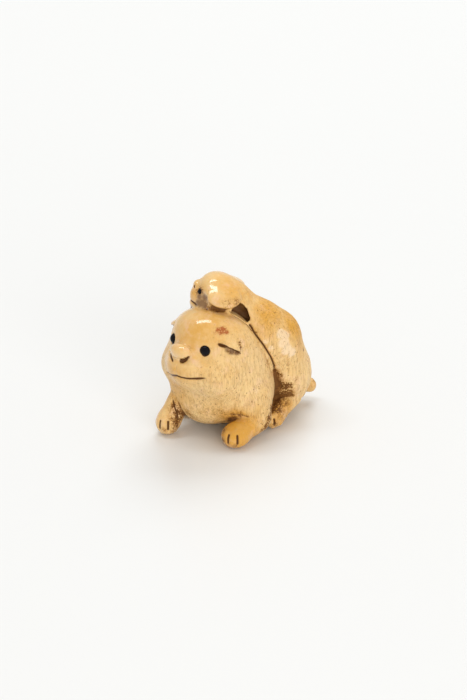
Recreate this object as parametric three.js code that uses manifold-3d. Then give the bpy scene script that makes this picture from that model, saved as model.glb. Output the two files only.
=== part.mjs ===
// A netsuke of two puppies, carved from one piece of bone: the lower one crouches with its forepaws out,
// the upper one climbs over its back and rests its chin on the lower one's head. Their eyes are horn inlays.
// Millimetres, +Z up. The lower puppy looks towards -Y and its left side is +X. The origin is under the
// middle of the carving, on the surface that it stands on.
import * as THREE from "three";
import { mergeVertices } from "three/addons/utils/BufferGeometryUtils.js";
import Module from "manifold-3d";

const wasm = await Module();
wasm.setup();

// ---------------------------------------------------------------- driving dimensions

// Places are [to the lower puppy's left, to its back, up] from the point between its forepaws, on the ground.
// A head is turned to its left by its yaw and looks up by its pitch, in degrees.
const LOWER_HEAD = { at: [-1.1, 7.3, 18.0], radius: 10.0, yaw: -15, pitch: 20 };
const UPPER_HEAD = { at: [-1.6, 10.9, 29.5], radius: 5.3, yaw: -68, pitch: 20 };

// A face's places are [to its left, forward, up], and they and its radii are shares of the head's radius.
const FACE = {
  skull: { at: [0, -0.08, 0], radii: [1.0, 1.02, 0.96] },
  forehead: { at: [0, 0.32, 0.36], radii: [0.84, 0.74, 0.66] },
  cheek: { at: [0.5, 0.36, -0.4], radii: [0.48, 0.5, 0.45] },
  muzzle: { at: [0, 0.6, -0.32], radii: [0.64, 0.6, 0.45] },
  chin: { at: [0, 0.52, -0.62], radii: [0.42, 0.42, 0.2] },
  bridge: { at: [0, 0.9, 0.02], radii: [0.24, 0.34, 0.17] },
  nose: { at: [0, 1.12, -0.02], radii: [0.28, 0.16, 0.16] },
  nostril: { at: [0.17, 1.2, -0.08], long: [0.7, -0.25, 0.66], radii: [0.04, 0.12, 0.13] },
  eye: { at: [0.43, 0.84, 0.16], radius: 0.13, sunk: 0.075 },
};
// The upper puppy has a deeper, squarer muzzle, with its nose higher up.
const UPPER_FACE = {
  ...FACE,
  muzzle: { at: [0, 0.64, -0.14], radii: [0.58, 0.64, 0.56] },
  chin: { at: [0, 0.68, -0.6], radii: [0.44, 0.5, 0.28] },
  bridge: { at: [0, 0.84, 0.24], radii: [0.3, 0.4, 0.2] },
  nose: { at: [0, 1.12, 0.2], radii: [0.3, 0.15, 0.2] },
};
// A mouth's droop is the slope, below level, at which it is seen from inside the muzzle.
const MOUTH_SWEEP = 60;
const LOWER_MOUTH = { droop: 0.43, sag: 0.07, smile: 0.08, slant: 0.2, width: 0.3 };
const UPPER_MOUTH = { droop: 0.27, sag: 0.04, smile: 0.1, slant: 0.0, width: 0.22 };

// An ear's edge is the direction of its free lower edge, its tilt swings that edge out from the head, and
// its middle is sunk below the skin.
const LOWER_EAR = {
  at: [0.73, 0.5, 0.28],
  edge: [0.62, -0.72, -0.26],
  radii: [0.3, 0.34, 0.1],
  tilt: 24,
  sunk: 0.02,
};
const UPPER_EAR = {
  at: [0.8, -0.02, 0.48],
  edge: [0.1, -1.0, 0.3],
  radii: [0.78, 0.6, 0.26],
  tilt: 28,
  sunk: 0.08,
};

// Paws: the middle, the half sizes, and the way that they point, in degrees from straight ahead.
const PAWS = {
  lowerLeft: { at: [7.3, 1.0, 2.5], radii: [3.2, 3.4, 2.7], turn: 16 },
  lowerRight: { at: [-8.8, -0.2, 2.6], radii: [2.8, 3.2, 2.8], turn: 8 },
  lowerHind: { at: [-10.2, 9.6, 1.9], radii: [2.3, 3.1, 2.1], turn: -12 },
  upperHind: { at: [10.4, 13.2, 2.0], radii: [2.3, 3.0, 2.2], turn: 10 },
  upperFore: { at: [-9.2, 12.2, 19.8], radii: [2.2, 2.9, 1.9], turn: -72 },
};
// Limbs: the places where each swells or narrows, from the body outwards, and the radius there.
const LIMBS = {
  lowerLeft: { from: [8.8, 8, 4.4], to: [7.8, 2.6, 3], radii: [3.6, 2.6], middle: [7.8, 3, 3.2] },
  lowerRight: { from: [-6.6, 4, 8.4], to: [-8.4, 0.8, 4.2], radii: [3.3, 2.5], middle: [-8.3, 1.2, 4.8] },
  lowerHind: { from: [-9.6, 16, 4], to: [-10.1, 11, 2.6], radii: [3.2, 2.2], middle: [-10, 12.5, 3.2] },
  upperHind: { from: [11.2, 20.6, 4.6], to: [10.5, 14.8, 2.8], radii: [2.3, 2.0], middle: [10.9, 17, 3.6] },
  upperFore: { from: [-2, 14.5, 23], to: [-8, 12.6, 20.4], radii: [3.2, 2.1], middle: [-7.4, 12.9, 20.6] },
};
const UPPER_LEFT_ARM = {
  from: [6.8, 13.8, 20.4],
  to: [0.4, 10.2, 27.2],
  radii: [1.8, 1.1],
  middle: [3.8, 12.1, 23.6],
};
const TAILS = [
  { from: [9, 28, 4.6], to: [11.2, 29.2, 3.6], radii: [2.4, 1.7], middle: [9.8, 28.4, 4.3] },
  { from: [-6, 27, 6], to: [-3.4, 28.6, 9], radii: [2.2, 1.4], middle: [-5, 27.6, 7.2] },
];

// Bodies: the eggs and limbs that run together into each.
const LOWER_BODY = {
  eggs: [
    { at: [0.2, 10.5, 11.5], radii: [10.0, 10.5, 10.0] },
    { at: [-4.0, 19.5, 8.8], radii: [8.8, 8.5, 9.2] },
    { at: [-5.8, 5.5, 9.0], radii: [4.5, 4.5, 4.5] },
    { at: [-1.9, 4.8, 8.2], radii: [5.4, 5.4, 5.4] },
    { at: [-9.0, 17.0, 6.5], radii: [4.0, 5.5, 5.5] },
    { at: [4.8, 15.0, 6.0], radii: [4.0, 6.0, 6.0] },
  ],
  limbs: [{ from: [7.0, 8.0, 8.0], to: [8.8, 7.6, 4.6], radii: [4.5, 3.6] }],
  blend: 4,
};
const UPPER_BODY = {
  eggs: [{ at: [9.2, 21.5, 8.5], radii: [5.0, 6.0, 7.0] }],
  limbs: [
    { from: [5.4, 16.0, 21.4], to: [6.7, 18.6, 18.6], radii: [5.9, 6.2] },
    { from: [6.7, 18.6, 18.6], to: [6.9, 22.8, 9.4], radii: [6.2, 6.6] },
  ],
  blend: 3,
  middle: [5, 17, 19],
};
const UPPER_NECK = { from: [4.4, 15.4, 23.6], to: [0.6, 12.2, 28.2], radii: [4.8, 4.6] };
const NECK_BLEND = 2;
const LOWER_NECK_BLEND = 3;
const LEG_BLEND = 1.2;
// Hollows: under the upper puppy's left ear, and between its belly and the lower one's flank.
const UNDER_EAR = {
  from: [2.6, 9.8, 28.2],
  to: [5.6, 11.8, 24.2],
  radii: [2.4, 1.0],
  middle: [3.2, 10.2, 27.4],
};
const FLANK_HOLLOW = { from: [11.0, 15.4, 5.0], to: [9.4, 14.6, 12.5], radii: [2.2, 0.8], blend: 0.8 };
const CORD_ROUTE = [[-2.6, 9.5, -2], [-2.4, 10, 3], [-2, 13, 5.6], [-1.6, 16, 3], [-1.4, 16.5, -2]];
const CORD_HOLE_RADIUS = 1.5;
const CORD_HOLE_ROUNDNESS = 5;
// Toe slits: degrees either side of the paw's bearing, and half sizes across, deep and along.
const TOE_ANGLE = 21;
const TOE_SLIT = [0.22, 0.75, 1.5];

const SOCKET_GAP = 0.25;
const GROUND_SIZE = 80;
const GROUND_DEPTH = 10;

// How finely each form is faceted: the divisions of an icosahedron's edge.
const FINE = { lowerPuppy: 8, upperBody: 6, upperHead: 5, leg: 3, small: 2 };

// ---------------------------------------------------------------- distance fields, negative inside

const radians = THREE.MathUtils.degToRad;
const at = (x, y, z) => new THREE.Vector3(x, y, z);

// A smooth minimum: two fields run together over the given width.
function soften(a, b, width) {
  const share = Math.max(width - Math.abs(a - b), 0) / width;
  return Math.min(a, b) - (share * share * width) / 4;
}

function join(width, ...fields) {
  return (p) => fields.map((field) => field(p)).reduce((a, b) => soften(a, b, width));
}

function hollow(width, body, cutter) {
  return (p) => -soften(-body(p), cutter(p), width);
}

function ellipsoid(centre, radii, turn = new THREE.Quaternion()) {
  const back = turn.clone().invert();
  const [rx, ry, rz] = radii;
  const local = at(0, 0, 0);
  return (p) => {
    local.copy(p).sub(centre).applyQuaternion(back);
    const near = Math.hypot(local.x / rx, local.y / ry, local.z / rz);
    const steep = Math.hypot(local.x / rx ** 2, local.y / ry ** 2, local.z / rz ** 2);
    return near < 1e-6 ? -Math.min(...radii) : (near * (near - 1)) / steep;
  };
}

// A ball swept from one place to another as its radius changes.
function limb({ from, to, radii: [startRadius, endRadius] }) {
  const start = at(...from);
  const along = at(...to).sub(start);
  const offset = at(0, 0, 0);
  return (p) => {
    offset.copy(p).sub(start);
    const share = THREE.MathUtils.clamp(offset.dot(along) / along.lengthSq(), 0, 1);
    offset.addScaledVector(along, -share);
    return offset.length() - THREE.MathUtils.lerp(startRadius, endRadius, share);
  };
}

// ---------------------------------------------------------------- solids

function solidOf(geometry) {
  geometry.deleteAttribute("normal");
  geometry.deleteAttribute("uv");
  const merged = mergeVertices(geometry, 1e-4);
  const mesh = new wasm.Mesh({
    numProp: 3,
    vertProperties: merged.attributes.position.array,
    triVerts: new Uint32Array(merged.index.array),
  });
  return new wasm.Manifold(mesh);
}

// The outermost place where the ray from a centre leaves a field.
function skin(field, centre, direction) {
  const FARTHEST = 50;
  const NEAR = 0.05;
  const value = (distance) => field(centre.clone().addScaledVector(direction, distance));
  let outside = FARTHEST;
  while (outside > NEAR && value(outside) > NEAR / 2) outside -= Math.max(value(outside) * 0.7, NEAR / 2);
  let inside = Math.max(outside - 2 * NEAR, 0);
  outside += NEAR;
  for (let halving = 0; halving < 14; halving += 1) {
    const middle = (inside + outside) / 2;
    if (value(middle) > 0) outside = middle;
    else inside = middle;
  }
  return centre.clone().addScaledVector(direction, inside);
}

// A solid with a field's skin, as seen from a centre inside it.
function formOf(field, centre, divisions) {
  const geometry = new THREE.IcosahedronGeometry(1, divisions);
  geometry.deleteAttribute("normal");
  geometry.deleteAttribute("uv");
  const merged = mergeVertices(geometry, 1e-5);
  const positions = merged.attributes.position;
  const direction = at(0, 0, 0);
  for (let i = 0; i < positions.count; i += 1) {
    direction.fromBufferAttribute(positions, i).normalize();
    positions.setXYZ(i, ...skin(field, centre, direction));
  }
  return solidOf(merged);
}

// A round channel along a smooth curve through the given places. Its section has twice as many sides as its
// roundness.
function channel(places, radius, roundness = 3) {
  const section = new THREE.Shape().absarc(0, 0, radius, 0, 2 * Math.PI);
  const geometry = new THREE.ExtrudeGeometry(section, {
    steps: places.length * 2,
    curveSegments: roundness,
    extrudePath: new THREE.CatmullRomCurve3(places),
  });
  return solidOf(geometry);
}

// A lens-shaped cut: its half sizes are across, deep and along.
function slit(centre, along, deep, radii) {
  const across = at(0, 0, 0).crossVectors(deep, along).normalize();
  const inward = at(0, 0, 0).crossVectors(along, across).normalize();
  const geometry = new THREE.SphereGeometry(1, 6, 6).scale(...radii);
  geometry.applyMatrix4(new THREE.Matrix4().makeBasis(across, inward, along.clone().normalize()));
  return solidOf(geometry.translate(...centre));
}

// ---------------------------------------------------------------- heads

function headFrame(head, face) {
  const turn = new THREE.Quaternion().setFromEuler(
    new THREE.Euler(radians(-head.pitch), 0, radians(head.yaw), "ZXY"),
  );
  const centre = at(...head.at);
  const direction = (left, forward, up) => at(left, -forward, up).applyQuaternion(turn);
  const place = (...shares) => direction(...shares).multiplyScalar(head.radius).add(centre);
  const sizes = (shares) => shares.map((share) => share * head.radius);
  const egg = ({ at: [left, forward, up], radii }, side = 1) =>
    ellipsoid(place(side * left, forward, up), sizes(radii), turn);
  return { centre, direction, place, sizes, egg, face, radius: head.radius };
}

function headField({ egg, face, radius }) {
  const round = join(0.3 * radius, egg(face.skull), egg(face.forehead), egg(face.cheek), egg(face.cheek, -1));
  const jowled = join(0.12 * radius, round, egg(face.muzzle), egg(face.chin));
  return join(0.1 * radius, jowled, egg(face.bridge));
}

function nose(frame) {
  return formOf(frame.egg(frame.face.nose), frame.place(...frame.face.nose.at), FINE.small);
}

function nostrils({ direction, place, sizes, face }) {
  const { at: [left, forward, up], long, radii } = face.nostril;
  return [1, -1].map((side) => {
    const along = direction(side * long[0], long[1], long[2]);
    return slit(place(side * left, forward, up), along, direction(0, 1, 0), sizes(radii));
  });
}

// The line of the mouth, and the short groove that runs down to it from the nose.
function mouth({ direction, place }, field, { droop, sag, smile, slant, width }) {
  const centre = place(0, 0.5, -0.3);
  const lipAt = (turn) => {
    const share = turn / MOUTH_SWEEP;
    const slope = droop + sag * Math.sin(Math.PI * Math.abs(share)) - smile * share ** 2 - slant * share;
    const outward = direction(Math.sin(radians(turn)), Math.cos(radians(turn)), -slope).normalize();
    return skin(field, centre, outward);
  };
  const lips = [-1, -0.75, -0.5, -0.25, 0, 0.25, 0.5, 0.75, 1].map((share) => lipAt(share * MOUTH_SWEEP));
  const groove = [0, 0.5, 1].map((share) => skin(field, centre, direction(0, 1, -share * droop).normalize()));
  return [channel(lips, width), channel(groove, width * 0.7)];
}

// ---------------------------------------------------------------- ears

// An ear's own frame: along its lower edge, up the skull, and out of it.
function earFrame(frame, field, ear, side) {
  const mirrored = ([left, forward, up]) => frame.direction(side * left, forward, up);
  const normal = mirrored(ear.at).normalize();
  const centre = skin(field, frame.centre, normal).addScaledVector(normal, -ear.sunk * frame.radius);
  const edge = mirrored(ear.edge).projectOnPlane(normal).normalize();
  const upward = at(0, 0, 0).crossVectors(normal, edge).multiplyScalar(side);
  upward.applyAxisAngle(edge, radians(-side * ear.tilt));
  const outward = at(0, 0, 0).crossVectors(edge, upward);
  const radii = frame.sizes(ear.radii);
  const flap = new THREE.Matrix4().makeBasis(edge, upward, outward).scale(at(...radii)).setPosition(centre);
  return { centre, edge, upward, normal, radii, flap };
}

// A small ear is a flap cut off straight below, with a slit under its edge.
function smallEar(frame, field, ear, side) {
  const { flap } = earFrame(frame, field, ear, side);
  const whole = new THREE.SphereGeometry(1, 14, 10).applyMatrix4(flap);
  const lowerHalf = new THREE.BoxGeometry(3, 3, 3).translate(0, -1.5, 0).applyMatrix4(flap);
  return solidOf(whole).subtract(solidOf(lowerHalf));
}

function earSlit(frame, field, ear, side) {
  const { centre, edge, upward, normal, radii } = earFrame(frame, field, ear, side);
  const place = centre.clone().addScaledVector(upward, -0.35);
  return slit(place, edge, normal, [0.4, 1.0, radii[0] * 0.95]);
}

function largeEar(frame, field, ear, side) {
  const { flap } = earFrame(frame, field, ear, side);
  return solidOf(new THREE.SphereGeometry(1, 16, 11).applyMatrix4(flap));
}

// ---------------------------------------------------------------- paws and limbs

function pawField({ at: place, radii, turn }) {
  return ellipsoid(at(...place), radii, new THREE.Quaternion().setFromAxisAngle(at(0, 0, 1), radians(turn)));
}

// Two slits part a paw into three toes.
function toeSlits({ at: place, radii, turn }) {
  return [-1, 1].map((side) => {
    const bearing = radians(turn + side * TOE_ANGLE);
    const forward = at(Math.sin(bearing), -Math.cos(bearing), 0);
    return slit(at(...place).addScaledVector(forward, radii[1] * 0.93), at(0, 0, 1), forward, TOE_SLIT);
  });
}

function legs() {
  return Object.entries(LIMBS).map(([name, shape]) =>
    formOf(join(LEG_BLEND, limb(shape), pawField(PAWS[name])), at(...shape.middle), FINE.leg));
}

function smallLimb(shape) {
  return formOf(limb(shape), at(...shape.middle), FINE.small);
}

// ---------------------------------------------------------------- bodies

function bodyField({ eggs, limbs, blend }, ...more) {
  return join(blend, ...eggs.map((egg) => ellipsoid(at(...egg.at), egg.radii)), ...limbs.map(limb), ...more);
}

// The upper puppy's head and body, with a hollow under the ear.
function upperPuppy() {
  const neck = limb(UPPER_NECK);
  const torso = hollow(FLANK_HOLLOW.blend, bodyField(UPPER_BODY, neck), limb(FLANK_HOLLOW));
  const head = formOf(join(NECK_BLEND, upperHead, neck), at(...UPPER_HEAD.at), FINE.upperHead);
  const body = formOf(torso, at(...UPPER_BODY.middle), FINE.upperBody);
  return head.add(body).subtract(smallLimb(UNDER_EAR));
}

// The cord's two holes are on the belly and meet inside it.
function cordChannel() {
  return channel(CORD_ROUTE.map((place) => at(...place)), CORD_HOLE_RADIUS, CORD_HOLE_ROUNDNESS);
}

// ---------------------------------------------------------------- the carving

const bone = new THREE.MeshStandardMaterial({ color: 0xe3bd7a, roughness: 0.3, metalness: 0 });
const horn = new THREE.MeshStandardMaterial({ color: 0x0c0c0e, roughness: 0.12, metalness: 0 });

const lowerFrame = headFrame(LOWER_HEAD, FACE);
const upperFrame = headFrame(UPPER_HEAD, UPPER_FACE);
const lowerPuppy = join(LOWER_NECK_BLEND, bodyField(LOWER_BODY), headField(lowerFrame));
const upperHead = headField(upperFrame);

function eyePlace({ centre, direction, radius }, field, side) {
  const [left, forward, up] = FACE.eye.at;
  const outward = direction(side * left, forward, up).normalize();
  return skin(field, centre, outward).addScaledVector(outward, -FACE.eye.sunk * radius);
}

function eyeBall(place, radius) {
  return solidOf(new THREE.SphereGeometry(radius, 10, 7).translate(...place));
}

const EYES = [
  { name: "lower_puppy_left_eye", frame: lowerFrame, field: lowerPuppy, side: 1 },
  { name: "lower_puppy_right_eye", frame: lowerFrame, field: lowerPuppy, side: -1 },
  { name: "upper_puppy_left_eye", frame: upperFrame, field: upperHead, side: 1 },
  { name: "upper_puppy_right_eye", frame: upperFrame, field: upperHead, side: -1 },
];

function carving() {
  const forms = [
    formOf(lowerPuppy, at(...LOWER_HEAD.at), FINE.lowerPuppy),
    upperPuppy(),
    nose(lowerFrame),
    nose(upperFrame),
    ...legs(),
    ...[UPPER_LEFT_ARM, ...TAILS].map(smallLimb),
    ...[1, -1].map((side) => smallEar(lowerFrame, lowerPuppy, LOWER_EAR, side)),
    ...[1, -1].map((side) => largeEar(upperFrame, upperHead, UPPER_EAR, side)),
  ];
  const ground = new THREE.BoxGeometry(GROUND_SIZE, GROUND_SIZE, GROUND_DEPTH);
  const cuts = [
    ...mouth(lowerFrame, lowerPuppy, LOWER_MOUTH),
    ...mouth(upperFrame, upperHead, UPPER_MOUTH),
    ...nostrils(lowerFrame),
    ...[1, -1].map((side) => earSlit(lowerFrame, lowerPuppy, LOWER_EAR, side)),
    ...Object.values(PAWS).flatMap(toeSlits),
    ...EYES.map(({ frame, field, side }) =>
      eyeBall(eyePlace(frame, field, side), FACE.eye.radius * frame.radius + SOCKET_GAP)),
    cordChannel(),
    solidOf(ground.translate(0, 0, -GROUND_DEPTH / 2)),
  ];
  const whole = forms.reduce((a, b) => a.add(b));
  return cuts.reduce((a, b) => a.subtract(b), whole);
}

function meshOf(solid, name, material) {
  const { numProp, vertProperties, triVerts } = solid.getMesh();
  const geometry = new THREE.BufferGeometry();
  geometry.setAttribute("position", new THREE.BufferAttribute(new Float32Array(vertProperties), numProp));
  geometry.setIndex(new THREE.BufferAttribute(new Uint32Array(triVerts), 1));
  const mesh = new THREE.Mesh(geometry, material);
  mesh.name = name;
  return mesh;
}

const netsuke = new THREE.Group();
netsuke.add(meshOf(carving(), "puppies", bone));
for (const { name, frame, field, side } of EYES) {
  const eye = eyeBall(eyePlace(frame, field, side), FACE.eye.radius * frame.radius);
  netsuke.add(meshOf(eye, name, horn));
}

const box = new THREE.Box3().setFromObject(netsuke);
const middle = box.getCenter(at(0, 0, 0));
netsuke.position.set(-middle.x, -middle.y, -box.min.z);

export default netsuke;
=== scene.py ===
"""Dresses the frame of a bone netsuke of two puppies: the carved bone, the horn eyes and the stage."""
import math
from typing import NamedTuple

import bmesh
import bpy
import numpy as np
from bpy.props import FloatProperty, FloatVectorProperty, IntProperty, PointerProperty
from mathutils import Matrix, Vector, noise
from mathutils.bvhtree import BVHTree


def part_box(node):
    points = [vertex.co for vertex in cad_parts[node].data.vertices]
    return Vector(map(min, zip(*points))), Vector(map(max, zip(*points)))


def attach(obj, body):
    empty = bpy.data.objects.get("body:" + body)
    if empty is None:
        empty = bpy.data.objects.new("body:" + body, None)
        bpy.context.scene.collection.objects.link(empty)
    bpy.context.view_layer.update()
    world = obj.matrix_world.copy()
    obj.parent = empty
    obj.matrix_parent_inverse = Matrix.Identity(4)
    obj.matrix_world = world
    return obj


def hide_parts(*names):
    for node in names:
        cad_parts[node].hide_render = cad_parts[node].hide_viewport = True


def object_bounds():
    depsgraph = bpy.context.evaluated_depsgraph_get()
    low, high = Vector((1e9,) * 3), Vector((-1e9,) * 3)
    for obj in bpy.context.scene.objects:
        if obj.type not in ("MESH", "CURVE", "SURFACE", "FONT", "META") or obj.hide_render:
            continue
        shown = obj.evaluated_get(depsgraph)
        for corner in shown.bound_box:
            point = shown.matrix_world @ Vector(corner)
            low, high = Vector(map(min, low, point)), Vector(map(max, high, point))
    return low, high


bl_info = {
    "name": "Puppy Netsuke",
    "version": (1, 0, 0),
    "blender": (4, 5, 0),
    "location": "3D View > Sidebar > Netsuke",
    "description": "Carves and finishes a bone netsuke of two puppies around its frame",
    "category": "Object",
}

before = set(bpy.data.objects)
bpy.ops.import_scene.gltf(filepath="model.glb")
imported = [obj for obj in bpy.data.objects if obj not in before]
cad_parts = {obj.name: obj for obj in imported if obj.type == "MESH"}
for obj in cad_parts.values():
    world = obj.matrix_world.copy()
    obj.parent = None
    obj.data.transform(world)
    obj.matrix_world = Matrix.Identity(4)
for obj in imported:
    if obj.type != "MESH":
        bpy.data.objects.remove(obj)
CAD_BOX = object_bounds()
MM = 0.001
UP = Vector((0, 0, 1))

# ---------------------------------------------------------------- the carving's own measures

# Head radii and pitches. Places on a head are shares of its radius: to its left, forward and up.
HEADS = {"lower": {"radius": 10.0 * MM, "pitch": 20}, "upper": {"radius": 5.3 * MM, "pitch": 20}}
EYE_PLACE = (0.43, 0.84, 0.16)

# A mouth is drawn from inside the muzzle, sweeping this many degrees to both sides at a slope below level.
# Droop is the slope at the middle, sag lets it hang halfway, smile lifts both ends, and slant lifts the left
# end and lowers the right one.
MUZZLE_MIDDLE = (0, 0.5, -0.3)
MOUTH_SWEEP = 60
MOUTH_STEPS = 12
PHILTRUM_STEPS = 6
MOUTHS = {
    "lower": {"droop": 0.43, "sag": 0.07, "smile": 0.08, "slant": 0.2},
    "upper": {"droop": 0.27, "sag": 0.04, "smile": 0.1, "slant": 0.0},
}
# A nose stands up from the bone as a round form of its own.
NOSES = {
    "lower": {"at": (-0.02, 1.12, 0.0), "radii": (0.3, 0.17, 0.18)},
    "upper": {"at": (0, 1.12, 0.2), "radii": (0.3, 0.15, 0.2)},
}
NOSTRILS = {
    "lower": {
        "left": [(0.04, 1.18, -0.2), (0.12, 1.15, -0.18), (0.19, 1.13, -0.12), (0.25, 1.08, -0.03)],
        "right": [(-0.13, 1.14, -0.26), (-0.22, 1.11, -0.22), (-0.33, 1.05, -0.18), (-0.43, 0.97, -0.12)],
    },
    "upper": {
        "left": [(0.12, 1.2, 0.1), (0.2, 1.1, 0.2)],
        "right": [(-0.12, 1.2, 0.1), (-0.2, 1.1, 0.2)],
    },
}
# The edge of a left ear, and its lip: the way that it faces, its height and how far it spreads.
EARS = {
    "lower": {
        "edge": [(0.66, 0.79, 0.38), (0.75, 0.66, 0.355), (0.82, 0.56, 0.33), (0.88, 0.46, 0.295),
                 (0.93, 0.38, 0.27), (0.96, 0.33, 0.3)],
        "lip": (0, 0, 1), "height": 0.45 * MM, "spread": 1.5 * MM,
    },
    "upper": {
        "edge": [(0.78, 0.64, 0.55), (0.9, 0.56, 0.36), (0.97, 0.48, 0.16), (1.0, 0.38, 0.0)],
        "lip": (0, -0.5, 0.8), "height": 0.15 * MM, "spread": 0.9 * MM,
    },
}
# A crack under the left end of the lower puppy's mouth.
LIP_CRACK = [(0.6, 0.88, -0.43), (0.57, 0.8, -0.64)]

# Paws: the middle and the reach to the toes in millimetres, and the degrees by which they turn to the left.
PAWS = [
    {"at": (6.8, -11.9, 2.5), "reach": 3.4, "turn": 16},
    {"at": (-9.3, -13.1, 2.6), "reach": 3.2, "turn": 8},
    {"at": (-10.7, -3.3, 1.9), "reach": 3.1, "turn": -12},
    {"at": (9.9, 0.3, 2.0), "reach": 3.0, "turn": 10},
    {"at": (-9.7, -0.7, 19.8), "reach": 2.9, "turn": -72},
]
# A slit between two toes: its degrees beside the paw's own way, the tilts from low in front to the top, and
# how far ahead of the paw's middle they turn, as a share of its reach.
TOE_ANGLE = 21
TOE_TILTS = (-24, 0, 22, 44)
TOE_ROOT = 0.3
# The room between an eye and its socket, and a little over. The seam around an eye has that many steps.
SOCKET_GAP = 0.28 * MM
SEAM_STEPS = 24

# Each kind of cut line: shares of the groove's width and depth, and how dark its stain is.
STROKES = {
    "mouth": (1.3, 1.2, 1.0),
    "philtrum": (0.9, 0.5, 0.12),
    "left nostril": (1.9, 1.8, 1.0),
    "right nostril": (1.15, 1.8, 1.0),
    "lower ear": (1.3, 2.0, 1.0),
    "upper ear": (0.8, 0.5, 0.3),
    "lip crack": (0.5, 0.3, 0.3),
    "eye seam": (0.7, 0.4, 1.0),
    "toe slit": (1.3, 1.3, 1.0),
}
# The lines on the small upper head are cut finer, and creases are never quite as dark as other lines.
FINENESS = {"lower": 1.0, "upper": 0.9}
CREASE_DARK = 0.85

# Creases given one by one: places in millimetres on the bone, and shares of the groove's width and depth.
CREASES = [
    # Beside the right foreleg, and over the left paw.
    ([(-8.5, -12.6, 8.3), (-7.9, -13.0, 7.2), (-7.2, -13.4, 6.0), (-6.7, -13.4, 4.9), (-6.6, -13.7, 3.8)],
     1.0, 1.0),
    ([(4.4, -10.9, 6.4), (5.8, -10.2, 6.7), (7.3, -9.8, 6.6), (8.9, -9.1, 6.2)], 0.8, 0.5),
    # Where the two puppies meet: a short line over a longer one.
    ([(2.0, -5.8, 28.8), (3.9, -4.4, 26.8), (5.4, -3.4, 25.0), (6.6, -3.0, 23.6)], 0.8, 0.8),
    ([(4.3, -2.3, 25.6), (5.9, -2.8, 24.6), (6.9, -2.7, 23.0), (8.4, -1.7, 20.2), (9.4, -0.2, 16.9),
      (9.4, 1.2, 14.6), (9.1, 2.1, 12.7)], 1.0, 1.2),
]

# Round places in millimetres, with their radii, where the bone is polished further: under the upper puppy's
# ear, and on the crowns of both heads. The front of the upper puppy's left ear is rounded off altogether.
# These take so many times the usual passes of smoothing, and lose that share of the knife's marks.
POLISHED = [((2.6, -1.4, 27.0), 3.0), ((-0.5, -4.0, 33.5), 6.0), ((-3.0, -9.5, 27.0), 7.0)]
POLISHED_TIMES = 4
MARKS_LOST = 0.85
ROUNDED = ((-2.4, -6.8, 32.8), 2.8)
ROUNDED_TIMES = 2
# The smooth parts between the striated ones: a head's face, as a place and a radius in shares of the head's
# radius, and the radii around a nose, in the same shares, and around a paw, in shares of its reach.
SMOOTH_FACE = ((0, 0.5, 0.6), 0.95)
SMOOTH_NOSE = 0.5
SMOOTH_PAW = 1.1

# The mesh is made finer once for each of these, this many widths of a cut line to each side of it.
FINER_REACHES = (3.6, 2.3)
# The passes of smoothing that show narrow crevices, and those that show broad hollows.
CREVICE_PASSES = 4
HOLLOW_PASSES = 110
# How far the bone lies under the smoothed form where it counts fully as a crevice, or as a hollow.
FULL_CREVICE = 0.03 * MM
FULL_HOLLOW = 0.5 * MM
# How much deeper a full crevice is cut where the undercut is 1, and how far apart the knife's marks are.
CREVICE_CUT = 0.16 * MM
KNIFE_SPACING = 3.2 * MM
# How far a raised lip needs to rise from its cut line.
LIP_EDGE = 0.3 * MM
# Where a groove ends beside its line, in widths, and a lip, in spreads. The stain is a little narrower.
GROOVE_REACH = 2.5
LIP_REACH = 1.8
STAIN_WIDTH = 0.8
# A line's strength at its ends, and how fast it grows from there.
LINE_END = 0.35
LINE_GROWTH = 6


class Spot(NamedTuple):
    """A round place on the bone, in millimetres: what is painted there and how far it is sunk."""

    paint: str
    at: tuple
    radius: float
    strength: float = 1.0
    depth: float = 0.0


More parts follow.
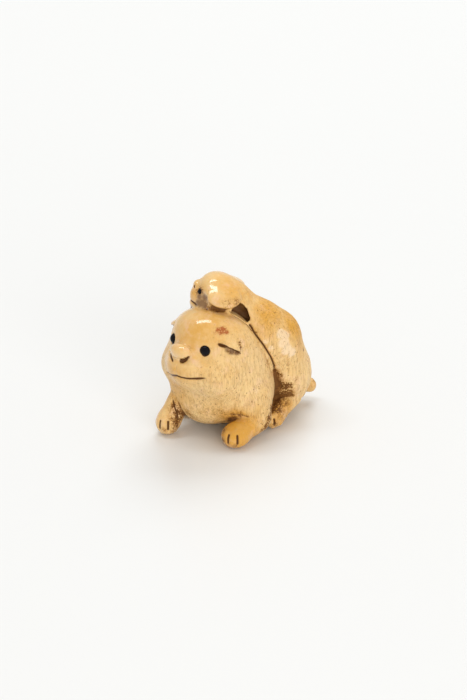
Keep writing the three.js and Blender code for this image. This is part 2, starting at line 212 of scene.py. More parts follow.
SPOTS = [
    # The stain on the lower puppy's brow.
    Spot("rust", (3.4, -11.1, 26.8), 0.85),
    Spot("rust", (2.6, -11.7, 26.9), 0.6, 0.9),
    Spot("rust", (3.0, -11.6, 26.1), 0.7, 0.9),
    Spot("rust", (2.0, -12.2, 26.1), 0.6, 0.8),
    Spot("rust", (4.1, -10.8, 26.2), 0.55, 0.8),
    Spot("rust", (3.3, -11.2, 26.6), 0.35, 1.6),
    # A brown patch behind the lower puppy's left ear.
    Spot("patina", (6.9, -9.8, 22.8), 0.75, 1.0),
    Spot("patina", (6.6, -9.2, 23.6), 0.6, 0.8),
    # Painted shade under the flap of the lower puppy's left ear.
    Spot("shade", (4.9, -12.1, 22.7), 0.6, 0.8),
    Spot("shade", (5.7, -11.4, 22.3), 0.85, 1.0),
    Spot("shade", (6.5, -10.6, 21.9), 0.7, 1.0),
    Spot("patina", (5.5, -11.6, 22.5), 0.65, 1.0),
    Spot("patina", (6.3, -10.9, 22.1), 0.65, 1.0),
    # A grey smudge under its left eye, and a dark spot between its eyes.
    Spot("shade", (1.7, -14.4, 20.5), 0.55, 0.85),
    Spot("shade", (2.2, -14.1, 19.9), 0.45, 0.9),
    Spot("patina", (-8.65, -10.85, 21.6), 0.8, 0.8),
    # Painted shade in the trough between the upper puppy's left eye and ear, which is also sunk a little.
    Spot("shade", (-5.0, -6.2, 30.9), 0.9, 0.9, 0.1),
    Spot("shade", (-5.2, -6.8, 29.6), 0.9, 1.0, 0.1),
    Spot("shade", (-4.2, -7.0, 29.8), 1.2, 1.0, 0.3),
    Spot("shade", (-3.6, -7.0, 31.2), 1.1, 1.0, 0.3),
    Spot("shade", (-3.3, -7.4, 29.8), 1.0, 1.0, 0.2),
    Spot("shade", (-2.6, -7.9, 31.6), 0.8, 0.9, 0.1),
    # Painted shade in the hollow under the upper puppy's left ear, and dirt in the pits behind it.
    Spot("shade", (1.7, -1.3, 27.4), 1.5, 0.7),
    Spot("shade", (3.0, -1.2, 26.2), 1.3, 0.7),
    Spot("patina", (3.6, -0.9, 27.4), 0.5, 1.0, 0.1),
    Spot("patina", (4.5, -2.1, 28.4), 0.45, 0.9, 0.1),
    Spot("patina", (6.9, -2.7, 23.4), 0.4, 1.0),
    # Between the two bodies, down the lower puppy's left flank.
    Spot("patina", (9.1, 2.1, 12.7), 0.6),
    Spot("patina", (9.7, 2.5, 11.4), 1.1, 1.2),
    Spot("patina", (9.3, 2.9, 9.9), 1.6, 1.3),
    Spot("patina", (10.0, 3.3, 8.9), 1.6, 1.3),
    Spot("patina", (10.9, 3.6, 8.8), 1.3, 1.3),
    Spot("patina", (12.0, 4.1, 8.9), 0.8, 1.1),
    Spot("patina", (11.1, 4.3, 7.1), 1.3, 1.0),
    Spot("patina", (9.4, 3.7, 6.7), 1.6, 1.3),
    Spot("patina", (9.0, 3.1, 5.1), 1.8, 1.3),
    Spot("patina", (9.8, 2.0, 5.1), 1.6, 1.2),
    Spot("patina", (10.6, 0.6, 4.4), 1.5, 1.2),
    Spot("patina", (11.2, -3.6, 6.3), 1.1, 1.0),
    Spot("patina", (11.5, -4.9, 5.0), 1.2, 1.1),
    Spot("patina", (11.4, -5.8, 3.4), 1.1, 1.1),
    Spot("patina", (11.2, -1.6, 1.8), 0.7),
    Spot("patina", (10.3, 0.1, 4.3), 1.1, 0.9),
    Spot("patina", (11.4, 0.4, 3.9), 2.2, 0.5),
    Spot("patina", (11.6, 2.6, 5.2), 2.0, 0.55),
    Spot("patina", (11.8, 5.0, 9.6), 1.6, 0.5),
    Spot("patina", (10.9, -7.2, 2.7), 0.7, 0.7),
    # The chest beside the right foreleg, and over the left paw.
    Spot("patina", (-7.7, -13.2, 6.8), 1.0, 0.8),
    Spot("patina", (-6.9, -13.4, 5.4), 1.6, 1.0),
    Spot("patina", (-6.5, -13.6, 4.0), 2.0, 1.0),
    Spot("patina", (-6.2, -14.2, 2.4), 1.6, 1.0),
    Spot("patina", (5.4, -10.4, 6.7), 0.8, 0.7),
    Spot("patina", (6.9, -9.9, 6.8), 0.8, 0.8),
    Spot("patina", (8.6, -9.3, 6.4), 0.7, 0.6),
    Spot("patina", (3.7, -11.6, 3.6), 1.3, 0.9),
    # Pores under the chest, filled with dirt.
    Spot("patina", (-0.8, -14.0, 8.0), 3.2, 0.24),
    Spot("patina", (-4.0, -13.3, 5.4), 2.4, 0.38),
    Spot("patina", (3.4, -12.4, 6.6), 2.8, 0.34),
    Spot("patina", (7.0, -10.6, 9.0), 2.2, 0.22),
    # Dirt along the upper puppy's chin and cheek, where they rest on the other's head.
    Spot("patina", (2.0, -7.2, 30.8), 1.3, 0.7),
    Spot("patina", (-0.2, -7.7, 29.8), 1.2, 0.8),
    Spot("patina", (-2.2, -7.8, 29.4), 1.1, 0.8),
    Spot("patina", (3.8, -5.6, 31.2), 1.0, 0.6),
    # A dark ring around the upper puppy's left eye.
    Spot("patina", (-5.1, -6.1, 32.1), 1.1, 1.3),
    # Dirt beside the toes.
    Spot("patina", (4.9, -13.6, 4.0), 1.0, 0.65),
    Spot("patina", (5.2, -14.6, 2.2), 1.1, 0.6),
    Spot("patina", (8.2, -14.4, 1.6), 0.9, 0.45),
    Spot("patina", (-8.6, -16.2, 1.8), 1.0, 0.45),
    # Marks on the rump and the tail.
    Spot("patina", (12.8, 8.6, 15.9), 0.45, 1.0),
    Spot("patina", (11.5, 16.7, 4.9), 0.5, 1.0),
    # The upper puppy's thigh, where wear has left the bone pale.
    Spot("worn", (10.9, 1.4, 22.4), 1.3),
    Spot("worn", (11.5, 2.3, 21.6), 1.4),
    Spot("worn", (11.6, 1.7, 20.2), 1.7),
    Spot("worn", (11.9, 2.2, 18.7), 1.6),
    Spot("worn", (12.5, 3.6, 17.4), 1.4),
    Spot("worn", (8.8, -1.5, 21.3), 1.2, 0.62),
    Spot("worn", (9.7, -0.6, 19.5), 1.1, 0.62),
    Spot("worn", (9.3, -7.6, 12.0), 3.2, 0.42),
    Spot("worn", (-1.0, -14.0, 10.5), 3.5, 0.28),
    Spot("worn", (9.6, -5.0, 13.5), 3.0, 0.26),
    # Where handling has turned the bone warmest.
    Spot("warm", (-2.0, -10.0, 26.0), 9.0, 0.7),
    Spot("warm", (6.0, 2.5, 25.5), 6.0),
    Spot("warm", (10.0, 7.5, 22.5), 6.0),
    Spot("warm", (2.0, 1.0, 30.5), 4.0),
    Spot("warm", (1.0, -3.0, 32.0), 4.5, 0.8),
    Spot("warm", (-7.0, -5.0, 31.0), 3.0, 0.9),
    Spot("warm", (7.0, -12.5, 3.0), 4.6, 2.0),
    Spot("warm", (-9.3, -13.5, 3.0), 3.8, 0.5),
    Spot("warm", (10.5, 1.5, 3.0), 3.5),
    Spot("warm", (-4.5, -17.5, 17.5), 4.0, 0.8),
    Spot("warm", (-6.5, -14.0, 10.5), 4.0, 0.6),
    Spot("warm", (12.0, 15.0, 6.0), 4.0, 0.5),
]


# ---------------------------------------------------------------- properties

def colour(name, description, default):
    """A colour that shows as a swatch in the panel."""
    return FloatVectorProperty(name=name, description=description, default=default, subtype="COLOR",
                               min=0, max=1)


def length(name, description, default):
    """A length in metres."""
    return FloatProperty(name=name, description=description, default=default, unit="LENGTH", precision=5)


def power(name, description, default):
    """A lamp's power in watts."""
    return FloatProperty(name=name, description=description, default=default, unit="POWER", min=0)


class CarvingSizes(bpy.types.PropertyGroup):
    """How the bone is cut."""

    grain: length("Grain", "Size of the cells that the rough form is rebuilt from", 0.34 * MM)
    groove_width: length("Groove width", "Half width of a cut line, such as the mouth", 0.26 * MM)
    groove_depth: length("Groove depth", "Depth of a cut line", 0.32 * MM)
    knife_marks: length("Knife marks", "Height of the unevenness that the knife left", 0.06 * MM)
    undercut: FloatProperty(
        name="Undercut", description="How far valleys are cut deeper", default=0.9, min=0, max=3)
    smoothing: IntProperty(
        name="Smoothing", description="Passes that polish the facets away", default=20, min=0)


class BoneColours(bpy.types.PropertyGroup):
    """The colours of old bone."""

    cream: colour("Cream", "Bone where it is palest", (0.84, 0.60, 0.285))
    ochre: colour("Ochre", "Bone that handling has turned warm", (0.71, 0.365, 0.05))
    blush: colour("Blush", "The pinkish clouds in polished bone", (0.86, 0.58, 0.37))
    tan: colour("Tan", "The bone's darker streaks", (0.42, 0.20, 0.04))
    grime: colour("Grime", "The brown in pores and scratches", (0.26, 0.105, 0.018))
    # The brown of the patina in the hollows, also used as painted shade under the flap of the lower puppy's
    # left ear.
    patina: colour("Patina", "The brown that has settled in the hollows", (0.19, 0.078, 0.018))
    # The stain in cut lines and in the darkest dirt, also used as painted shade under the ears' lips.
    ink: colour("Ink", "The dark stain in cut lines", (0.115, 0.044, 0.010))
    rust: colour("Rust", "The red-brown stain on the lower puppy's brow", (0.38, 0.082, 0.010))
    bare: colour("Bare", "Bone that wear has left pale", (0.90, 0.69, 0.44))
    # Painted shade for the trough beside the upper puppy's eye and the hollows under the ears, and the colour
    # of a grey smudge under the lower puppy's eye.
    shade: colour("Shade", "The grey-brown wash beside the eyes", (0.22, 0.12, 0.058))


class EyeLooks(bpy.types.PropertyGroup):
    """The horn inlays."""

    inset: length("Inset", "How far an eye's skin lies inside its frame", 0.06 * MM)
    horn: colour("Horn", "Polished dark horn", (0.006, 0.006, 0.008))
    # A bluish sheen painted where the horn turns away from the view.
    painted_rim_sheen: colour("Haze", "The bluish bloom on the horn's edge", (0.05, 0.06, 0.075))


class StageLooks(bpy.types.PropertyGroup):
    """The floor and the lamps."""

    floor: colour("Floor", "Pale plain floor", (0.795, 0.815, 0.83))
    radius: length("Floor radius", "Half width of the floor", 2.0)
    distance: length("Camera distance", "From the camera to the middle of the carving", 0.6)
    overhead: power("Overhead lamp", "Power of the long lamp overhead", 5.3)
    back: power("Back lamp", "Power of the soft lamp behind", 9.5)
    front: power("Front lamp", "Power of the soft lamp in front", 6.9)
    fill: FloatProperty(name="Fill", description="Strength of the light from all around", default=0.65, min=0)


# ---------------------------------------------------------------- shader maths

class Value:
    """A node's socket. Python's operators on it add Math nodes."""

    def __init__(self, shader, socket):
        self.shader = shader
        self.socket = socket

    def math(self, operation, *values):
        """This value put through a Math node with the given further values."""
        return self.shader.node("ShaderNodeMath", {"operation": operation}, *(self, *values)).first

    def __add__(self, other):
        return self.math("ADD", other)

    def __radd__(self, other):
        return self.math("ADD", other)

    def __sub__(self, other):
        return self.math("SUBTRACT", other)

    def __rsub__(self, other):
        return self.shader.node("ShaderNodeMath", {"operation": "SUBTRACT"}, other, self).first

    def __mul__(self, other):
        return self.math("MULTIPLY", other)

    def __rmul__(self, other):
        return self.math("MULTIPLY", other)

    def most(self, other):
        """The larger of two values."""
        return self.math("MAXIMUM", other)

    def ramp(self, low, high):
        """0 at low, 1 at high, and a smooth change between them. High may be the smaller one."""
        start, end = min(low, high), max(low, high)
        rise = self.shader.node("ShaderNodeMapRange", {"interpolation_type": "SMOOTHSTEP"},
                                Value=self, From_Min=start, From_Max=end).first
        return rise if low < high else 1 - rise


class Made:
    """A node that has been made, whose outputs are read by name."""

    def __init__(self, shader, node):
        self.shader = shader
        self.node = node

    @property
    def first(self):
        """The first output in use."""
        return Value(self.shader, next(socket for socket in self.node.outputs if socket.enabled))

    def out(self, name):
        """The output of that name."""
        return Value(self.shader, self.node.outputs[name])


class Shader:
    """The nodes of one material."""

    def __init__(self, name):
        self.material = bpy.data.materials.new(name)
        self.material.use_nodes = True
        self.tree = self.material.node_tree
        self.surface = self.tree.nodes["Principled BSDF"]

    def put(self, socket, value):
        """Links a value to a socket, or sets it there."""
        if isinstance(value, Value):
            self.tree.links.new(value.socket, socket)
        elif socket.type == "RGBA" and len(value) == 3:
            socket.default_value = (*value, 1)
        else:
            socket.default_value = value

    def node(self, kind, settings=None, *values, **named):
        """A node of a kind, with its settings and then the values of its sockets, in order or by name."""
        made = self.tree.nodes.new(kind)
        for name, setting in (settings or {}).items():
            setattr(made, name, setting)
        sockets = [socket for socket in made.inputs if socket.enabled]
        for socket, value in zip(sockets, values):
            self.put(socket, value)
        for name, value in named.items():
            words = name.replace("_", " ")
            self.put(next(socket for socket in sockets if socket.name == words), value)
        return Made(self, made)

    def places(self, stretch=(1, 1, 1)):
        """Places on the piece in millimetres, stretched along X, Y and Z."""
        where = self.node("ShaderNodeTexCoord").out("Object")
        scale = tuple(factor / MM for factor in stretch)
        return self.node("ShaderNodeMapping", {"vector_type": "POINT"}, Vector=where, Scale=scale).first

    def noise(self, where, scale, detail=2.0, roughness=0.5, distortion=0.0):
        """Soft noise with about that many blotches a millimetre."""
        made = self.node("ShaderNodeTexNoise", None, Vector=where, Scale=scale, Detail=detail,
                         Roughness=roughness, Distortion=distortion)
        return made.out("Fac")

    def dots(self, where, scale):
        """The distance to the nearest of scattered points."""
        return self.node("ShaderNodeTexVoronoi", None, Vector=where, Scale=scale).out("Distance")

    def painted(self, name):
        """A value that the carving's mesh holds."""
        return self.node("ShaderNodeAttribute", {"attribute_name": name}).out("Fac")

    def mix(self, share, low, high):
        """Two colours mixed by a share."""
        return self.node("ShaderNodeMix", {"data_type": "RGBA"}, Factor=share, A=low, B=high).first

    def finish(self, **named):
        """The material, with values put on its surface's sockets."""
        for name, value in named.items():
            self.put(self.surface.inputs[name.replace("_", " ")], value)
        return self.material


# ---------------------------------------------------------------- finishes

def bone_material(colours):
    """Old polished bone: cream to ochre, striated, with brown in its hollows, cuts and pores."""
    bone = Shader("bone")
    where = bone.places()
    height = bone.node("ShaderNodeSeparateXYZ", None, where).out("Z")
    broad = bone.noise(where, 0.16, 3)
    middle = bone.noise(where, 0.7, 4, 0.6)
    fine = bone.noise(where, 3.0, 4, 0.65)
    streak = bone.noise(bone.places((1.5, 1.5, 0.22)), 1.2, 4, 0.7, 0.4)
    thread = bone.noise(bone.places((3.4, 3.4, 0.5)), 1.3, 2, 0.5, 0.3)
    crevice, hollow, ink = (bone.painted(name) for name in ("crevice", "hollow", "ink"))
    rust, patina, worn = (bone.painted(name) for name in ("rust", "patina", "worn"))
    shade, warm, fur = (bone.painted(name) for name in ("shade", "warm", "fur"))

    # The clean bone: warm where it is handled and a little warmer near the bottom, clouded, streaked, and
    # bared by wear.
    warmth = (broad * 0.8 + middle * 0.6 + warm * 0.8 + height.ramp(7, 0) * 0.1).ramp(0.55, 1.6)
    skin = bone.mix(warmth, colours.cream, colours.ochre)
    cloud = bone.noise(where, 0.42, 3, 0.55)
    skin = bone.mix(cloud.ramp(0.5, 0.72) * (0.75 - fur * 0.35) * (1 - warm * 0.6), skin, colours.blush)
    skin = bone.mix(streak.ramp(0.42, 0.7) * (fur * 0.3 + 0.08), skin, colours.tan)
    bared = (worn + (middle - 0.5) * 0.8 + (fine - 0.5) * 0.3).ramp(0.34, 0.68)
    skin = bone.mix(bared * 0.8, skin, colours.bare)

    # Dirt that has settled in the hollows, with faces that look down darkened too, painted shade under the
    # ears and in the trough beside the upper puppy's eye, a grey smudge under the lower puppy's eye, and the
    # stain on the brow.
    mottle = (middle * 0.8 + fine * 1.7).ramp(0.95, 1.5)
    dirt_and_shade = patina * (mottle * 1.5 + 0.2) + crevice * crevice * 1.6 + hollow * 0.4 + (middle - 0.5) * 0.35
    skin = bone.mix(dirt_and_shade.ramp(0.1, 0.7) * 0.8, skin, colours.tan)
    settled_dirt_and_shade = dirt_and_shade.ramp(0.42, 1.05)
    skin = bone.mix(settled_dirt_and_shade * 0.95, skin, colours.patina)
    skin = bone.mix((settled_dirt_and_shade * mottle).ramp(0.55, 0.95) * 0.7, skin, colours.ink)
    # Painted shade in the trough and under the ears, and a grey smudge under the lower puppy's eye.
    shade_and_stain_mask = (shade * (fine * 0.9 + 0.6)).ramp(0.15, 0.85)
    skin = bone.mix(shade_and_stain_mask * 0.9, skin, colours.shade)
    speckled = (rust * (fine * 3.6 + middle * 0.9 - 1.3)).ramp(0.05, 0.75)
    skin = bone.mix(speckled * 0.92, skin, colours.rust)

    # Pores, pits, scratches and flecks, and then the cut lines, whose stain also paints the shade under the
    # ears' lips.
    pore = (bone.dots(where, 1.05) + fine * 0.2).ramp(0.33, 0.18) * middle.ramp(0.4, 0.55) * (fur * 0.9 + 0.1)
    pit = (bone.dots(where, 1.7) + fine * 0.15).ramp(0.33, 0.2) * middle.ramp(0.46, 0.6) * (warm * 0.7 + 0.25)
    scratch = thread.ramp(0.55, 0.68) * fur * broad.ramp(0.25, 0.5)
    fleck = bone.noise(where, 5.5, 2, 0.6).ramp(0.6, 0.7) * streak.ramp(0.4, 0.6) * (fur * 0.8 + 0.1)
    marks = pore.most(scratch * 0.5).most(fleck * 0.85).most(pit * fur)
    skin = bone.mix(marks * 0.92, skin, colours.grime)
    cut = (ink * (fine * 0.6 + 0.8)).ramp(0.22, 0.72)
    skin = bone.mix(cut, skin, colours.ink)

    # Striated parts are rough, and the polished ones shine.
    grain = (streak * 0.4 + thread * 0.3 + fine * 0.16 + middle * 0.3) * fur
    relief = grain - pore * 0.7 - scratch * 0.6 + fine * 0.03 + middle * 0.06
    bump = bone.node("ShaderNodeBump", None, Strength=0.75, Distance=0.12 * MM, Height=relief).first
    rough = settled_dirt_and_shade * 0.25 + marks * 0.2 + streak * fur * 0.25 + fine * 0.08 + fur * 0.2 + 0.12
    polish = ((1 - fur) * 0.8 + bared * 0.4) * (1 - settled_dirt_and_shade) * (1 - cut) * (1 - shade_and_stain_mask * 0.8)
    return bone.finish(Base_Color=skin, Roughness=rough, Normal=bump, Coat_Weight=polish, Coat_Roughness=0.08,
                       Coat_IOR=1.58, IOR=1.5, Specular_IOR_Level=0.3, Subsurface_Weight=0.1,
                       Subsurface_Radius=(1.0, 0.55, 0.28), Subsurface_Scale=0.5 * MM)


def horn_material(looks):
    """Polished near-black horn, with a faint bluish sheen painted where it turns away from the view."""
    horn = Shader("horn")
    where = horn.places()
    cloud = horn.noise(where, 2.4, 3)
    # The bluish sheen is painted on the parts that turn away from the view.
    edge = horn.node("ShaderNodeLayerWeight", None, Blend=0.35).out("Facing")
    skin = horn.mix(edge.ramp(0.55, 1.0) * cloud.ramp(0.3, 0.7) * 0.6, looks.horn, looks.painted_rim_sheen)
    bump = horn.node("ShaderNodeBump", None, Strength=0.15, Distance=0.02 * MM, Height=cloud).first
    return horn.finish(Base_Color=skin, Roughness=cloud * 0.1 + 0.1, Normal=bump, Specular_IOR_Level=0.1)


def floor_material(looks):
    """A pale, faintly glossy table top."""
    floor = Shader("floor")
    grain = floor.noise(floor.places(), 0.02, 2)
    return floor.finish(Base_Color=looks.floor, Roughness=grain * 0.06 + 0.3, IOR=1.4)


# ---------------------------------------------------------------- heads and cut lines

class Head:
    """A puppy's head, found from its two eyes. Shares of its radius give the places on it."""

    def __init__(self, puppy):
        radius, pitch = HEADS[puppy]["radius"], math.radians(HEADS[puppy]["pitch"])
        left, right = (sum(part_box(f"{puppy}_puppy_{side}_eye"), Vector()) / 2 for side in ("left", "right"))
        self.radius = radius
        self.left = (left - right).normalized()
        self.forward = self.left.cross(UP) * math.cos(pitch) + UP * math.sin(pitch)
        self.up = self.forward.cross(self.left)
        eye_reach = (left - right).length / 2 / EYE_PLACE[0]
        self.centre = (left + right) / 2 - self.direction(0, *EYE_PLACE[1:]) * eye_reach

    def direction(self, left, forward, up):
        """The way with these parts to the head's left, forward and up."""
        return self.left * left + self.forward * forward + self.up * up

    def place(self, *shares):
        """The place at these shares of the radius from the head's middle."""
        return self.centre + self.direction(*shares) * self.radius

    def skin(self, surface, *shares):
        """Where the ray from the head's middle through a place on it leaves the bone."""
        return surface.ray_cast(self.centre, self.direction(*shares).normalized())[0]


def mouth_line(head, surface, droop, sag, smile, slant):
    """The line of the lips."""
    inside = head.place(*MUZZLE_MIDDLE)
    line = []
    for step in range(-MOUTH_STEPS, MOUTH_STEPS + 1):
        share = step / MOUTH_STEPS
        turn = math.radians(share * MOUTH_SWEEP)
        slope = droop + sag * math.sin(math.pi * abs(share)) - smile * share ** 2 - slant * share
        line.append(surface.ray_cast(inside, head.direction(math.sin(turn), math.cos(turn), -slope))[0])
    return line


def philtrum_line(head, surface, droop):
    """The short groove from the nose down to the lips."""
    inside = head.place(*MUZZLE_MIDDLE)
    slopes = [droop * step / PHILTRUM_STEPS for step in range(PHILTRUM_STEPS + 1)]
    return [surface.ray_cast(inside, head.direction(0, 1, -slope))[0] for slope in slopes]


def toe_line(paw, side, surface):
    """A slit between two toes, over the front of the paw."""
    bearing = math.radians(paw["turn"] + side * TOE_ANGLE)
    forward = Vector((math.sin(bearing), -math.cos(bearing), 0))
    reach = paw["reach"] * MM
    root = Vector(paw["at"]) * MM + forward * reach * TOE_ROOT
    rays = [forward * math.cos(tilt) + UP * math.sin(tilt) for tilt in map(math.radians, TOE_TILTS)]
    hits = [surface.ray_cast(root, ray, reach)[0] for ray in rays]
    return [hit for hit in hits if hit]


def eye_shape(node, inset):
    """An inlay's middle and radius."""
    low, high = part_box(node)
    return (low + high) / 2, max(high - low) / 2 - inset


def eye_line(node, surface, inset):
    """The seam around an eye, where it leaves the skin."""
    middle, radius = eye_shape(node, inset)
    skin = surface.find_nearest(middle)[0]
    outward = (skin - middle).normalized()
    across = outward.orthogonal().normalized()
    beside = outward.cross(across)
    sunk = (skin - middle).length
    reach = math.sqrt(max(radius ** 2 - sunk ** 2, 0))
    turns = [2 * math.pi * step / SEAM_STEPS for step in range(SEAM_STEPS + 1)]
    rays = [outward * sunk + (across * math.cos(turn) + beside * math.sin(turn)) * reach for turn in turns]
    return [surface.ray_cast(middle, ray.normalized())[0] for ray in rays]


def along(points, spacing=0.06 * MM):
    """Points closely spaced along a line."""
    dense = []
    for start, end in zip(points, points[1:]):
        steps = max(1, int((end - start).length / spacing))
        dense += [start.lerp(end, step / steps) for step in range(steps)]
    return np.array([*dense, points[-1]])


class Cut(NamedTuple):
    """A line cut into the bone, in metres, and how dark its stain is from 0 to 1.

    Where it has a height, the bone on the side that its lip faces stands up over it by that much.
    """

    points: list
    width: float
    depth: float
    dark: float
    lip: Vector = None
    height: float = 0.0
    spread: float = 1.0


def stroke(kind, points, sizes, fineness=1.0, **lip):
    """A cut line of one kind."""
    wide, deep, dark = STROKES[kind]
    width, depth = sizes.groove_width * fineness * wide, sizes.groove_depth * fineness * deep
    return Cut(points, width, depth, dark, **lip)


def face_cuts(head, surface, puppy, sizes):
    """The mouth, the groove above it, the nostrils and the edges of the ears."""
    fineness = FINENESS[puppy]
    mouth, ear = MOUTHS[puppy], EARS[puppy]
    lip = {"lip": head.direction(*ear["lip"]), "height": ear["height"], "spread": ear["spread"]}
    cuts = [
        stroke("mouth", mouth_line(head, surface, **mouth), sizes, fineness),
        stroke("philtrum", philtrum_line(head, surface, mouth["droop"]), sizes, fineness),
    ]
    for side, mirror in (("left", 1), ("right", -1)):
        nostril = [head.skin(surface, *place) for place in NOSTRILS[puppy][side]]
        cuts.append(stroke(f"{side} nostril", nostril, sizes, fineness))
        edge = [head.skin(surface, mirror * left, forward, up) for left, forward, up in ear["edge"]]
        cuts.append(stroke(f"{puppy} ear", edge, sizes, fineness, **lip))
    return cuts


def cut_lines(heads, surface, sizes, inset):
    """Every line that is cut into the bone."""
    cuts = [cut for puppy, head in heads.items() for cut in face_cuts(head, surface, puppy, sizes)]
    crack = [heads["lower"].skin(surface, *place) for place in LIP_CRACK]
    cuts.append(stroke("lip crack", crack, sizes))
    cuts += [stroke("eye seam", eye_line(node, surface, inset), sizes) for node in eye_nodes()]
    cuts += [stroke("toe slit", toe_line(paw, side, surface), sizes) for paw in PAWS for side in (1, -1)]
    for crease, wide, deep in CREASES:
        line = along([Vector(place) * MM for place in crease])[::3]
        points = [surface.find_nearest(Vector(place))[0] for place in line]
        dark = min(deep, CREASE_DARK)
        cuts.append(Cut(points, sizes.groove_width * wide, sizes.groove_depth * deep, dark))
    return [cut._replace(points=along(cut.points)) for cut in cuts]


# ---------------------------------------------------------------- mesh work

def added(name, data):
    """A new object in the scene."""
    piece = bpy.data.objects.new(name, data)
    bpy.context.scene.collection.objects.link(piece)
    return piece


def mesh_from(bm, name):
    """A mesh of that name with the bmesh's faces. The bmesh is freed."""
    mesh = bpy.data.meshes.new(name)
    bm.to_mesh(mesh)
    bm.free()
    return mesh


def rebuild(piece, cell):
    """Rebuilds the piece's mesh from even cells."""
    cells = piece.modifiers.new("cells", "REMESH")
    cells.mode = "VOXEL"
    cells.voxel_size = cell
    rebuilt = piece.evaluated_get(bpy.context.evaluated_depsgraph_get())
    mesh = bpy.data.meshes.new_from_object(rebuilt)
    piece.modifiers.clear()
    piece.data = mesh


def rows(items, name):
    """A vector of each vertex or normal, as the rows of an array."""
    values = np.empty(len(items) * 3, np.float32)
    items.foreach_get(name, values)
    return values.reshape(-1, 3).astype(float)


def put_places(mesh, places):
    """Moves a mesh's vertices to new places."""
    mesh.vertices.foreach_set("co", places.astype(np.float32).ravel())
    mesh.update()


class Neighbours:
    """Averages over each vertex's neighbours."""

    def __init__(self, mesh):
        ends = np.empty(len(mesh.edges) * 2, np.int32)
        mesh.edges.foreach_get("vertices", ends)
        self.start, self.end = ends[0::2], ends[1::2]
        self.count = len(mesh.vertices)
        self.degree = np.bincount(ends, minlength=self.count).astype(float)

    def mean(self, values):
        """The mean of each vertex's neighbours."""
        flat = values.reshape(self.count, -1)
        columns = []
        for column in flat.T:
            total = np.bincount(self.start, column[self.end], self.count)
            total += np.bincount(self.end, column[self.start], self.count)
            columns.append(total / self.degree)
        return np.stack(columns, 1).reshape(values.shape)

    def soften(self, values, passes, strength=0.5):
        """Values drawn towards their neighbours' mean, again for each pass."""
        for _ in range(passes):
            values = values + strength * (self.mean(values) - values)
        return values

    def polish(self, places, passes):
        """Places with small unevenness taken away and the volume kept."""
        for _ in range(passes):
            places = self.soften(places, 1, 0.6)
            places = self.soften(places, 1, -0.62)
        return places


class Near(NamedTuple):
    """The vertices near a line: how far each is, which way from it, and where along the line, from 0 to 1."""

    vertices: np.ndarray
    gaps: np.ndarray
    offsets: np.ndarray
    shares: np.ndarray


def nearest(places, line, reach):
    """The vertices within reach of a line."""
    low, high = line.min(0) - reach, line.max(0) + reach
    close = np.flatnonzero(np.all((places > low) & (places < high), axis=1))
    gaps = np.linalg.norm(places[close, None] - line[None], axis=2)
    which = gaps.argmin(1)
    gaps = gaps.min(1)
    kept = gaps < reach
    close, which = close[kept], which[kept]
    return Near(close, gaps[kept], places[close] - line[which], which / max(len(line) - 1, 1))


def refine(piece, cuts):
    """Makes the mesh finer along the cut lines."""
    for reach in FINER_REACHES:
        places = rows(piece.data.vertices, "co")
        near = np.zeros(len(places), bool)
        for cut in cuts:
            near[nearest(places, cut.points, cut.width * reach).vertices] = True
        bm = bmesh.new()
        bm.from_mesh(piece.data)
        bm.verts.ensure_lookup_table()
        edges = [edge for edge in bm.edges if near[edge.verts[0].index] and near[edge.verts[1].index]]
        bmesh.ops.subdivide_edges(bm, edges=edges, cuts=1, use_grid_fill=True)
        bmesh.ops.triangulate(bm, faces=[face for face in bm.faces if len(face.verts) > 4])
        bm.to_mesh(piece.data)
        bm.free()


def bell(gaps, width):
    """1 where there is no gap, falling to 0 where it is well past the width."""
    return np.exp(-((gaps / width) ** 2))


def around(places, middle, radius):
    """1 at a place on the bone, falling to 0 around it."""
    return bell(np.linalg.norm(places - np.array(middle), axis=1), radius)


def spot(places, at, radius):
    """The same around a place given in millimetres."""
    return around(places, np.array(at) * MM, radius * MM)


def painted_spots(places, paint):
    """The spots of one paint, put together."""
    spots = [each.strength * spot(places, each.at, each.radius) for each in SPOTS if each.paint == paint]
    return np.max(spots, axis=0)


def polished_share(places):
    """How far each place is polished beyond the rest."""
    return np.clip(sum(spot(places, *each) for each in POLISHED) * 1.3, 0, 1)


def swelling(places, head, nose):
    """How far the bone stands up to a nose's own round form."""
    axes = np.array([head.left, head.forward, head.up])
    radii = np.array(nose["radii"]) * head.radius
    local = (places - np.array(head.place(*nose["at"]))) @ axes.T / radii
    return np.clip(1 - np.linalg.norm(local, axis=1), 0, 1) * radii.min()


def paint(mesh, name, values):
    """Puts values from 0 to 1 on the mesh's vertices, for the finish to read."""
    attribute = mesh.attributes.new(name, "FLOAT", "POINT")
    attribute.data.foreach_set("value", np.clip(values, 0, 1).astype(np.float32))


def eye_nodes():
    """The names of the frame's eyes."""
    return sorted(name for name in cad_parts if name.endswith("_eye"))


def close_sockets(bm):
    """Takes the eyes' sockets out and fills the skin over them, for the bone to close around the eyes."""
    for node in eye_nodes():
        middle, reach = eye_shape(node, -SOCKET_GAP)
        inside = {vert for vert in bm.verts if (vert.co - middle).length < reach}
        walls = [face for face in bm.faces if all(vert in inside for vert in face.verts)]
        bmesh.ops.delete(bm, geom=walls, context="FACES")
    rims = [edge for edge in bm.edges if edge.is_boundary]
    bmesh.ops.holes_fill(bm, edges=rims, sides=0)


def rough_form():
    """A copy of the frame's carving with its eye sockets closed."""
    bm = bmesh.new()
    bm.from_mesh(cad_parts["puppies"].data)
    bmesh.ops.remove_doubles(bm, verts=bm.verts, dist=0.001 * MM)
    close_sockets(bm)
    return added("carved_puppies", mesh_from(bm, "carved_puppies"))


